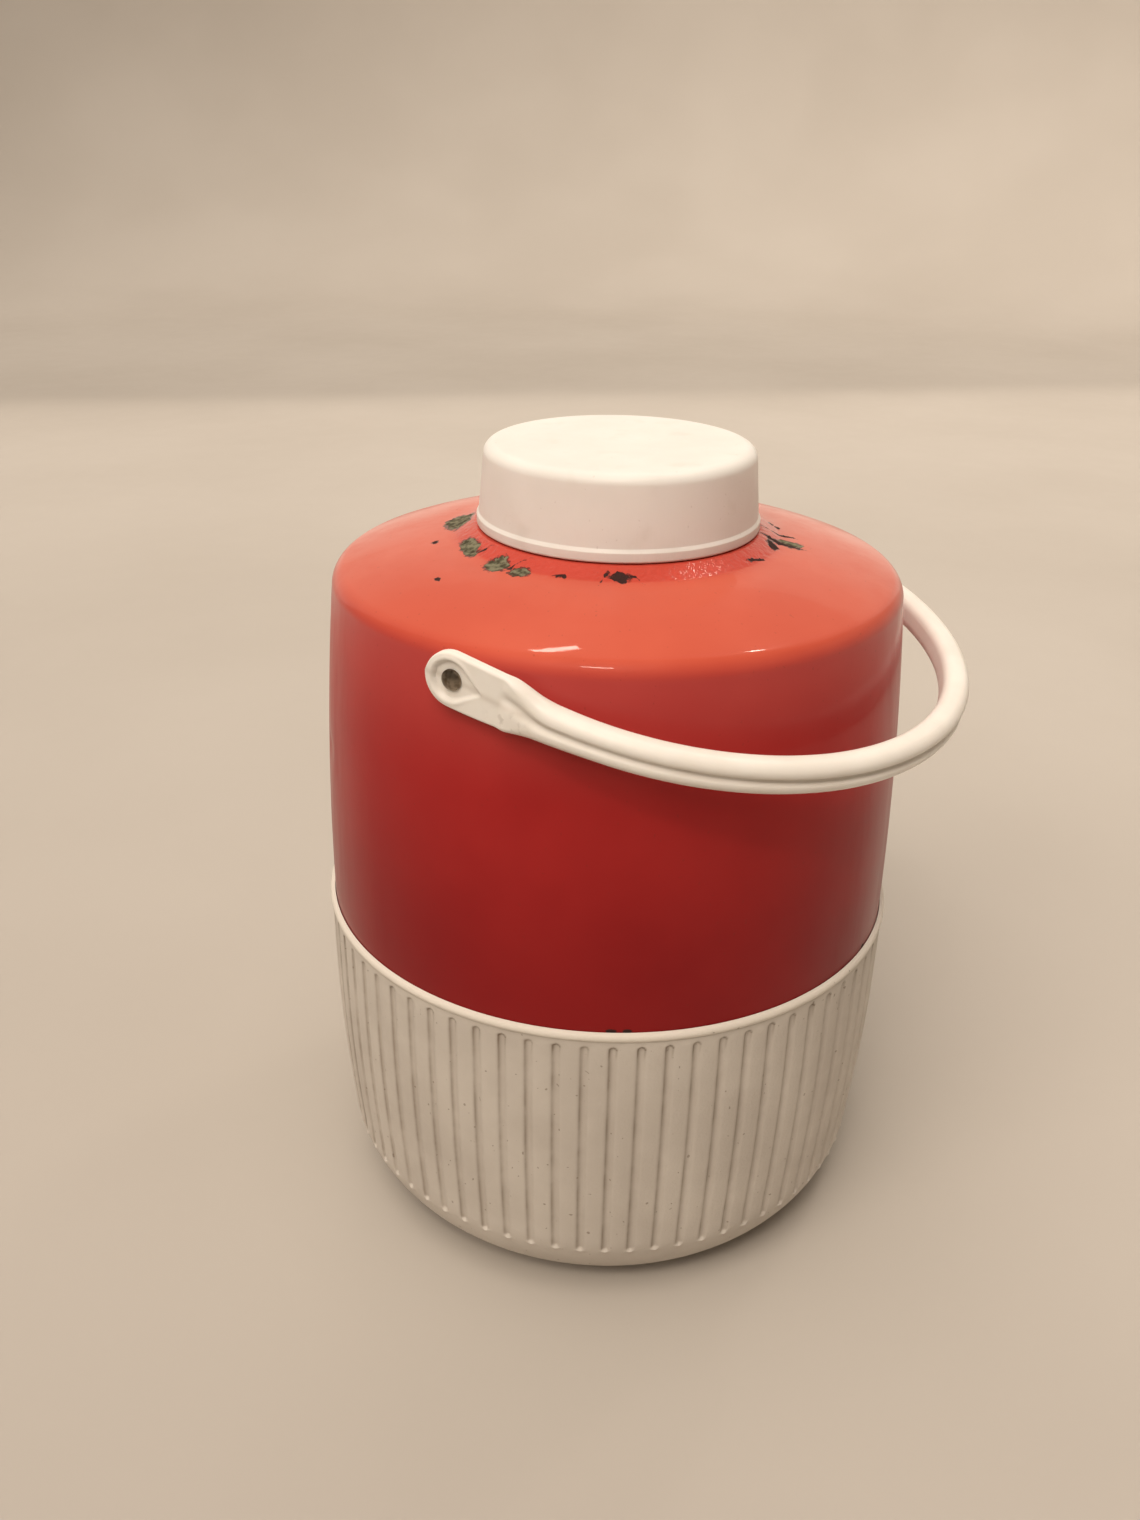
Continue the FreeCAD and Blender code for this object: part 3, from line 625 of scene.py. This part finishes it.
CHIPS = [  # azimuth, radius, half length round the collar, half width, turn from the collar's direction
    (111.0, 57.0, 9.5, 5.0, 0.0),
    (145.0, 56.0, 7.8, 3.0, -12.0),
    (164.5, 58.3, 4.6, 4.4, 0.0),
    (174.5, 58.4, 3.9, 2.8, 10.0),
    (-70.5, 61.0, 2.6, 4.4, -8.0),
    (48.0, 56.5, 5.0, 2.4, 15.0),
    (12.0, 58.0, 3.0, 2.0, 0.0),
]
SCARS = [  # thin or dark marks, in the same order
    (-151.4, 55.2, 3.7, 2.2, 0.0),
    (-157.0, 56.4, 3.6, 0.5, 62.0),
    (-146.0, 56.2, 3.0, 0.5, -50.0),
    (-172.0, 56.5, 2.4, 0.7, 0.0),
    (-73.5, 58.0, 8.5, 2.0, 86.0),
    (-79.0, 55.5, 3.6, 1.5, 20.0),
    (-63.0, 57.0, 7.0, 0.9, 84.0),
    (-52.0, 57.5, 5.0, 0.6, 6.0),
    (-97.0, 55.8, 3.8, 0.7, -12.0),
    (171.0, 55.5, 3.6, 0.6, 70.0),
    (152.0, 54.5, 3.6, 0.6, 65.0),
    (131.0, 65.2, 1.3, 1.1, 0.0),
    (157.6, 76.1, 1.2, 0.8, 0.0),
]
SEAM_CHIPS = [(-151.3, 1.7), (-148.4, 1.5), (-92.0, 1.2), (64.0, 1.6)]  # azimuth, half length


def on_collar(marks):
    """Marks in the paint round the collar, as spots for nearest_spot."""
    return [
        (azimuth, radius, COLLAR_FOOT[1], turn, (half_length, half_width, 8.0))
        for azimuth, radius, half_length, half_width, turn in marks
    ]


def on_seam(chips):
    """Chips along the edge above the base, as spots for nearest_spot."""
    return [
        (azimuth, SHELL_RADIUS, BASE_TOP + 0.3, 0.0, (half_length, 3.0, 0.8))
        for azimuth, half_length in chips
    ]


def nearest_spot(paint, place, spots):
    """Below 1 inside any of these ellipsoids, as one output.

    Each is an azimuth, radius, height, turn from the jug's own tangent, and three half sizes.
    """
    nearest = 9.0  # outside all of them
    for azimuth, radius, height, turn, half_sizes in spots:
        spot = paint.add("Mapping", {
            "Vector": place,
            "Location": on_shell(azimuth, radius, height),
            "Rotation": (0.0, 0.0, math.radians(azimuth + 90.0 + turn)),
            "Scale": Vector(half_sizes) * MM,
        }, vector_type="TEXTURE").outputs[0]
        nearest = paint.math("MINIMUM", nearest, paint.length(spot))
    return nearest


def shaded_and_faded_red(paint, height, collar):
    """Deep red at the base and lighter up the side: painted shade low down and painted light higher up.
    Towards orange on the dome: partly sun-fading, partly a painted reflection of a warm wall.
    """
    cloud = paint.between(paint.noise(0.05, 3.0), 0.3, 0.7)
    deep = paint.mix(cloud, (0.23, 0.005, 0.007), (0.27, 0.008, 0.009))
    side = paint.mix(cloud, (0.36, 0.015, 0.015), (0.41, 0.020, 0.019))
    upper = paint.mix(cloud, (0.48, 0.052, 0.046), (0.52, 0.063, 0.054))
    dome = paint.mix(cloud, (0.56, 0.088, 0.047), (0.61, 0.106, 0.058))
    # painted shade and light: the side is painted darker towards the base and lighter towards the shoulder
    colour = paint.mix(paint.between(height, 0.125, 0.215), deep, side)
    colour = paint.mix(paint.between(height, 0.205, 0.248), colour, upper)
    # the dome's orange is partly sun-fading and partly a painted reflection of a warm wall
    colour = paint.mix(paint.between(height, 0.247, 0.255), colour, dome)
    return paint.mix(paint.math("MULTIPLY", collar, 0.6), colour, (0.50, 0.040, 0.032))


def bare_metal(paint, scarred):
    """Dull grey-green metal where the paint has flaked, with rust, and nearly black in the scars."""
    mottle = paint.between(paint.noise(0.0022, 4.0), 0.35, 0.65)
    bare = paint.mix(mottle, (0.055, 0.05, 0.03), (0.21, 0.20, 0.13))
    rust = paint.between(paint.noise(0.004, 3.0), 0.55, 0.75)
    rusty = paint.mix(rust, bare, (0.05, 0.028, 0.018))
    return paint.mix(scarred, rusty, (0.045, 0.022, 0.020))


def red_enamel():
    """Glossy baked enamel with flaked chips round the collar, which is lightly blistered."""
    paint = Material("red_enamel", Coat_Roughness=0.035, Coat_IOR=1.42, Specular_IOR_Level=0.12)
    height = paint.height()
    collar = paint.between(height, 0.2632, 0.2645)
    colour = shaded_and_faded_red(paint, height, collar)

    jagged = paint.pull(0.55, paint.place, paint.cells(0.0036, "Position"))
    jagged = paint.pull(0.3, jagged, paint.cells(0.0015, "Position"))
    edge_noise = paint.math("MULTIPLY_ADD", paint.noise(0.0012, 2.0), 0.5, -0.25)
    flake = nearest_spot(paint, jagged, on_collar(CHIPS))
    scar = nearest_spot(paint, jagged, on_collar(SCARS))
    scar = paint.math("MINIMUM", scar, nearest_spot(paint, paint.place, on_seam(SEAM_CHIPS)))
    distance = paint.math("ADD", paint.math("MINIMUM", flake, scar), edge_noise)
    scarred = paint.between(paint.math("SUBTRACT", flake, scar), -0.02, 0.02)
    chipped = paint.between(distance, 0.98, 0.90)
    rim = paint.between(distance, 1.16, 0.99)

    # dark edges round the chips: partly rust, partly a painted shadow along the step of the paint
    rust_and_shadow_edged = paint.mix(paint.math("MULTIPLY", rim, 0.9), colour, (0.055, 0.012, 0.010))
    speck = paint.between(paint.noise(0.0011, 0.0), 0.80, 0.84)
    dusty = paint.mix(paint.math("MULTIPLY", speck, 0.2), rust_and_shadow_edged, (0.10, 0.03, 0.02))
    paint.set("Base Color", paint.mix(chipped, dusty, bare_metal(paint, scarred)))

    scuffs = paint.noise(0.02, 5.0, paint.stretched(1.0, 1.0, 0.15), 0.65)
    gloss = paint.between(scuffs, 0.35, 0.75, 0.28, 0.42)
    paint.set("Roughness", paint.math("MAXIMUM", gloss, paint.math("MULTIPLY", chipped, 0.75)))
    clear = paint.between(height, 0.235, 0.252, 0.16, 0.52)
    paint.set("Coat Weight", paint.math("MULTIPLY", paint.math("SUBTRACT", 1.0, chipped), clear))

    peel = paint.bump(paint.noise(0.0035, 1.0), 0.00001)
    wavy = paint.bump(paint.noise(0.03, 2.0), 0.00012, peel)
    blisters = paint.bump(paint.math("MULTIPLY", paint.noise(0.0022, 2.0), collar), 0.0004, wavy)
    pits = paint.math("MULTIPLY", paint.noise(0.0008, 3.0), chipped)
    sunk = paint.math("SUBTRACT", paint.math("MULTIPLY", pits, 0.4), chipped)
    paint.set("Normal", paint.bump(sunk, 0.00022, blisters))
    paint.set("Coat Normal", blisters)
    return paint.data


def base_plastic():
    """Moulded plastic with a fine grain, dirt and painted shade in the grooves, a painted highlight on the
    lip band, and a few dark specks.
    """
    plastic = Material("base_plastic", Specular_IOR_Level=0.35)
    cloud = plastic.noise(0.035, 4.0)
    colour = plastic.mix(plastic.between(cloud, 0.3, 0.7), (0.56, 0.51, 0.455), (0.64, 0.59, 0.53))
    # painted highlight: the lip band is painted lighter, where its rounded top catches the light from above
    lip = plastic.between(plastic.height(), LIP_BOTTOM * MM, (LIP_BOTTOM + 0.6) * MM)
    colour = plastic.mix(plastic.math("MULTIPLY", lip, 0.8), colour, (0.80, 0.745, 0.665))
    # the groove mark: dirt and painted shade in the grooves, and a painted shadow under each groove's arch
    groove_shade_and_dirt = plastic.add("Attribute", attribute_name="groove").outputs["Fac"]
    patchy = plastic.between(plastic.noise(0.012, 4.0), 0.3, 0.65, 0.35, 1.0)
    grimy_and_shaded = plastic.mix(plastic.math("MULTIPLY", groove_shade_and_dirt, patchy), colour, (0.20, 0.145, 0.10))
    speck = plastic.between(plastic.noise(0.0018, 0.0), 0.81, 0.85)
    dotted = plastic.mix(plastic.math("MULTIPLY", speck, 0.6), grimy_and_shaded, (0.20, 0.15, 0.10))
    plastic.set("Base Color", dotted)
    plastic.set("Roughness", plastic.between(plastic.noise(0.006, 4.0), 0.3, 0.7, 0.42, 0.62))
    grain = plastic.bump(plastic.noise(0.0013, 3.0), 0.00014)
    plastic.set("Normal", plastic.bump(plastic.noise(0.006, 2.0), 0.00025, grain))
    return plastic.data


def cup_plastic():
    """Smooth white plastic with fine drag lines on the wall and light scuffs on top."""
    plastic = Material("cup_plastic", Specular_IOR_Level=0.5, Subsurface_Weight=0.05,
                       Subsurface_Radius=(0.004, 0.003, 0.002))
    cloud = plastic.noise(0.03, 3.0)
    colour = plastic.mix(plastic.between(cloud, 0.3, 0.7), (0.80, 0.775, 0.735), (0.85, 0.825, 0.79))
    smudge = plastic.between(plastic.noise(0.014, 5.0), 0.55, 0.78)
    colour = plastic.mix(plastic.math("MULTIPLY", smudge, 0.25), colour, (0.62, 0.56, 0.49))
    speck = plastic.between(plastic.noise(0.0013, 0.0), 0.82, 0.86)
    plastic.set("Base Color", plastic.mix(plastic.math("MULTIPLY", speck, 0.15), colour, (0.3, 0.24, 0.18)))
    plastic.set("Roughness", plastic.between(plastic.noise(0.01, 5.0), 0.3, 0.7, 0.30, 0.46))
    lines = plastic.noise(0.0014, 2.0, plastic.stretched(1.0, 1.0, 0.02))
    scratch = plastic.noise(0.0009, 3.0)
    drag = plastic.bump(lines, 0.00003)
    plastic.set("Normal", plastic.bump(scratch, 0.000015, drag))
    return plastic.data


def handle_plastic():
    """White plastic with painted shade in the groove and dark scuffs where the strap turns into the grip."""
    plastic = Material("handle_plastic", Specular_IOR_Level=0.5, Subsurface_Weight=0.05,
                       Subsurface_Radius=(0.004, 0.003, 0.002))
    cloud = plastic.noise(0.02, 3.0)
    colour = plastic.mix(plastic.between(cloud, 0.3, 0.7), (0.83, 0.785, 0.725), (0.88, 0.845, 0.79))
    groove_shade_and_dirt = plastic.add("Attribute", attribute_name="groove").outputs["Fac"]
    # painted shade along the groove of the outer face
    colour = plastic.mix(plastic.math("MULTIPLY", groove_shade_and_dirt, 0.3), colour, (0.40, 0.32, 0.25))
    scuffed = plastic.add("Attribute", attribute_name="scuff").outputs["Fac"]
    marks = plastic.between(plastic.noise(0.0024, 4.0), 0.52, 0.66)
    worn = plastic.math("MULTIPLY", plastic.math("MULTIPLY", marks, scuffed), 0.4)
    plastic.set("Base Color", plastic.mix(worn, colour, (0.36, 0.31, 0.26)))
    plastic.set("Roughness", plastic.between(plastic.noise(0.008, 4.0), 0.3, 0.7, 0.28, 0.45))
    plastic.set("Normal", plastic.bump(plastic.noise(0.0012, 3.0), 0.00003))
    return plastic.data


def rivet_steel():
    """Dull steel with a brown patina."""
    steel = Material("rivet_steel", Metallic=1.0)
    patina = steel.between(steel.noise(0.0022, 4.0), 0.35, 0.65)
    steel.set("Base Color", steel.mix(patina, (0.33, 0.28, 0.22), (0.15, 0.115, 0.08)))
    steel.set("Roughness", steel.between(steel.noise(0.0012, 3.0), 0.3, 0.7, 0.3, 0.5))
    steel.set("Normal", steel.bump(steel.noise(0.0007, 3.0), 0.00004))
    return steel.data


def moulded(name, dark, light, roughness, grain_size):
    """Plain moulded plastic: slight colour clouds and a fine surface grain."""
    plastic = Material(name, Specular_IOR_Level=0.45)
    cloud = plastic.noise(0.018, 4.0)
    plastic.set("Base Color", plastic.mix(plastic.between(cloud, 0.3, 0.7), dark, light))
    rough = plastic.between(plastic.noise(0.006, 3.0), 0.3, 0.7, roughness - 0.07, roughness + 0.07)
    plastic.set("Roughness", rough)
    plastic.set("Normal", plastic.bump(plastic.noise(grain_size, 3.0), 0.00003))
    return plastic.data


def insulating_foam():
    """Rigid foam: small open cells and a yellowed skin."""
    foam = Material("insulating_foam", Roughness=0.9, Specular_IOR_Level=0.2)
    cells = foam.cells(0.0016, "Distance")
    cloud = foam.between(foam.noise(0.02, 4.0), 0.3, 0.7)
    colour = foam.mix(cloud, (0.72, 0.60, 0.36), (0.82, 0.73, 0.50))
    foam.set("Base Color", foam.mix(foam.between(cells, 0.2, 0.7), colour, (0.58, 0.46, 0.26)))
    foam.set("Normal", foam.bump(cells, 0.0003))
    return foam.data


def seal_rubber():
    """Grey-brown rubber with a dusty bloom."""
    rubber = Material("seal_rubber", Specular_IOR_Level=0.3)
    bloom = rubber.between(rubber.noise(0.004, 4.0), 0.4, 0.7)
    rubber.set("Base Color", rubber.mix(bloom, (0.22, 0.19, 0.16), (0.34, 0.30, 0.26)))
    rubber.set("Roughness", rubber.between(rubber.noise(0.002, 3.0), 0.3, 0.7, 0.6, 0.85))
    rubber.set("Normal", rubber.bump(rubber.noise(0.0006, 3.0), 0.00003))
    return rubber.data


def mark_points(obj, name, share_of):
    """Store a share from 0 to 1 at each point, for the material to read."""
    attribute = obj.data.attributes.new(name, "FLOAT", "POINT")
    attribute.data.foreach_set("value", [share_of(vertex.co / MM) for vertex in obj.data.vertices])


def groove_dirt_and_painted_shade(point):
    """A dark arch of painted shadow at the upper end of each groove, and a thin dark line along one of its
    edges with a faint darkening along the whole groove, partly dirt and partly painted shade.
    """
    radius = math.hypot(point.x, point.y)
    if radius < SIDE_START or point.z > LIP_BOTTOM:
        return 0.0
    place = place_in_flute(math.degrees(math.atan2(point.y, point.x)))
    along = smooth_step(FLUTE_BOTTOM, FLUTE_BOTTOM + 2.0, point.z)
    along *= 1.0 - smooth_step(FLUTE_TOP - 1.0, FLUTE_TOP, point.z)
    # painted shade along one wall of each groove, with some dirt
    edge = bell(place, -0.13, 0.05)
    # painted shadow under the arch at each groove's upper end
    arch = bell(point.z + FLUTE_ARCH * place * place, FLUTE_TOP - 0.5, 0.5)
    within = 1.0 - smooth_step(0.13, 0.2, abs(place))
    return min(1.0, (0.5 * edge + 0.12 * within) * along + 0.95 * arch * within)


def handle_groove_shade(point):
    """Painted shade along the middle of the outer face, where the groove is."""
    local = JUG_TO_HANDLE @ point
    forward = min(local.y + HANDLE_START, 0.0)
    ellipse_to_circle = 1.13
    if math.hypot(local.x, forward * ellipse_to_circle) <= HANDLE_SPAN:
        return 0.0
    return bell(local.z, 0.0, 1.0)


def handle_scuff(point):
    """Scuffs on the lower edge where the strap turns into the grip."""
    local = JUG_TO_HANDLE @ point
    near_strap = bell(-local.y, 22.0, 6.0) * smooth_step(80.0, 95.0, abs(local.x))
    return near_strap * bell(local.z, -4.0, 3.0)


def give(obj, material):
    obj.data.materials.clear()
    obj.data.materials.append(material)


def give_node(name, material):
    """CAD nodes keep their slots, and every slot takes the material."""
    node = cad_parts[name]
    if not node.material_slots:
        node.data.materials.append(material)
    for slot in node.material_slots:
        slot.material = material


# ---- the jug ----

shell = make_shell()
base = make_base()
cup = make_cup()
handle = make_handle()
rivets = make_rivets()

mark_points(base, "groove", groove_dirt_and_painted_shade)
mark_points(handle, "groove", handle_groove_shade)
mark_points(handle, "scuff", handle_scuff)

steel = rivet_steel()
foam = insulating_foam()
rubber = seal_rubber()
white = moulded("white_plastic", (0.72, 0.68, 0.61), (0.79, 0.75, 0.69), 0.36, 0.0012)
milky = moulded("bottle_plastic", (0.68, 0.66, 0.60), (0.76, 0.74, 0.68), 0.48, 0.0016)
washer = moulded("washer_plastic", (0.62, 0.57, 0.49), (0.72, 0.67, 0.59), 0.5, 0.0009)

give(shell, red_enamel())
give(base, base_plastic())
give(cup, cup_plastic())
give(handle, handle_plastic())
for rivet in rivets:
    give(rivet, steel)

NODE_MATERIALS = {
    "inner_bottle": milky,
    "neck_ring": white,
    "stopper_plug": white,
    "stopper_cap": white,
    "stopper_foam": foam,
    "insulation_base": foam,
    "insulation_sleeve": foam,
    "insulation_shoulder": foam,
    "seam_seal": rubber,
    "bottle_seal": rubber,
    "neck_gasket": rubber,
    "stopper_gasket": rubber,
    "cup_seal": rubber,
    "spacer_washer_right": washer,
    "spacer_washer_left": washer,
    "backing_plate_right": steel,
    "backing_plate_left": steel,
}
for node_name, node_material in NODE_MATERIALS.items():
    give_node(node_name, node_material)


# ---- stage, light and camera ----

def make_floor():
    """A pale studio floor that curves up into a low round wall, far from the jug."""
    flat = 2600.0
    bend = 900.0
    wall = flat + bend
    wall_top = 2500.0
    thickness = 50.0
    outline = [(0.0, 0.0)] + rounded([(flat / 4, 0.0), (wall, 0.0, bend), (wall, wall_top)], 300.0)
    outline += [(wall + thickness, wall_top), (wall + thickness, -thickness), (0.0, -thickness)]
    floor = spin("floor", outline, even_azimuths(96))
    ground = Material("floor", Specular_IOR_Level=0.2)
    cloud = ground.between(ground.noise(0.4, 3.0), 0.3, 0.7)
    ground.set("Base Color", ground.mix(cloud, (0.47, 0.43, 0.385), (0.50, 0.46, 0.415)))
    ground.set("Roughness", ground.between(ground.noise(0.05, 3.0), 0.3, 0.7, 0.65, 0.8))
    give(floor, ground.data)


def direction(azimuth, elevation):
    """The way from the jug towards a place, from degrees round from +X and up from the floor."""
    around = math.radians(azimuth)
    up = math.radians(elevation)
    return Vector((math.cos(around) * math.cos(up), math.sin(around) * math.cos(up), math.sin(up)))


def add_light(name, azimuth, elevation, distance, width, depth, power, colour):
    """An area light that looks at the middle of the jug, in degrees, metres and watts."""
    data = bpy.data.lights.new(name, "AREA")
    data.shape = "RECTANGLE"
    data.size = width
    data.size_y = depth
    data.energy = power
    data.color = colour
    light = bpy.data.objects.new(name, data)
    middle = Vector((0.0, 0.0, (cad_low.z + cad_high.z) / 2))
    away = direction(azimuth, elevation)
    light.location = middle + away * distance
    light.rotation_euler = (-away).to_track_quat("-Z", "Y").to_euler()
    light.visible_camera = False
    bpy.context.scene.collection.objects.link(light)


def add_sun(name, azimuth, elevation, width, strength, colour):
    """A soft light from far away that no glossy surface mirrors."""
    data = bpy.data.lights.new(name, "SUN")
    data.angle = math.radians(width)
    data.energy = strength
    data.color = colour
    sun = bpy.data.objects.new(name, data)
    sun.rotation_euler = (-direction(azimuth, elevation)).to_track_quat("-Z", "Y").to_euler()
    sun.visible_glossy = False
    bpy.context.scene.collection.objects.link(sun)


def make_camera():
    """The eye is on the jug's -X side, a little towards -Y, and looks down on it with a slight tilt."""
    eye_azimuth = -153.0
    eye_away = 0.4516
    eye_height = 0.396
    pitch = math.radians(26.31)
    yaw = math.radians(-1.96)
    roll = math.radians(1.01)
    data = bpy.data.cameras.new("camera")
    data.lens = 30.91
    data.sensor_width = 36.0
    data.clip_start = 0.01
    camera = bpy.data.objects.new("camera", data)
    to_eye = direction(eye_azimuth, 0.0) * eye_away
    heading = math.radians(eye_azimuth + 90.0) - yaw
    turn = Matrix.Rotation(heading, 4, "Z") @ Matrix.Rotation(math.pi / 2 - pitch, 4, "X")
    camera.matrix_world = (
        Matrix.Translation((to_eye.x, to_eye.y, eye_height)) @ turn @ Matrix.Rotation(roll, 4, "Z")
    )
    bpy.context.scene.collection.objects.link(camera)
    bpy.context.scene.camera = camera


def make_world():
    """A dim warm light from all round."""
    world = bpy.data.worlds.new("room")
    world.use_nodes = True
    background = world.node_tree.nodes["Background"]
    background.inputs["Color"].default_value = (0.62, 0.56, 0.49, 1.0)
    background.inputs["Strength"].default_value = 0.16
    bpy.context.scene.world = world


WARM = (1.0, 0.89, 0.77)
make_floor()
make_world()
make_camera()
add_light("front_lamp", -160.0, 53.0, 1.6, 0.27, 0.14, 3.0, WARM)
add_light("back_lamp", 46.0, 65.0, 1.6, 0.20, 0.045, 0.75, WARM)
add_light("right_lamp", -20.0, 60.0, 1.6, 0.14, 0.06, 1.3, WARM)
add_light("back_wall", 38.0, 40.0, 1.2, 3.0, 2.2, 8.6, WARM)
add_sun("left_sun", 172.0, 36.0, 40.0, 2.2, WARM)
add_sun("top_sun", 178.0, 76.0, 50.0, 2.0, WARM)

bpy.context.scene.view_settings.view_transform = "Standard"
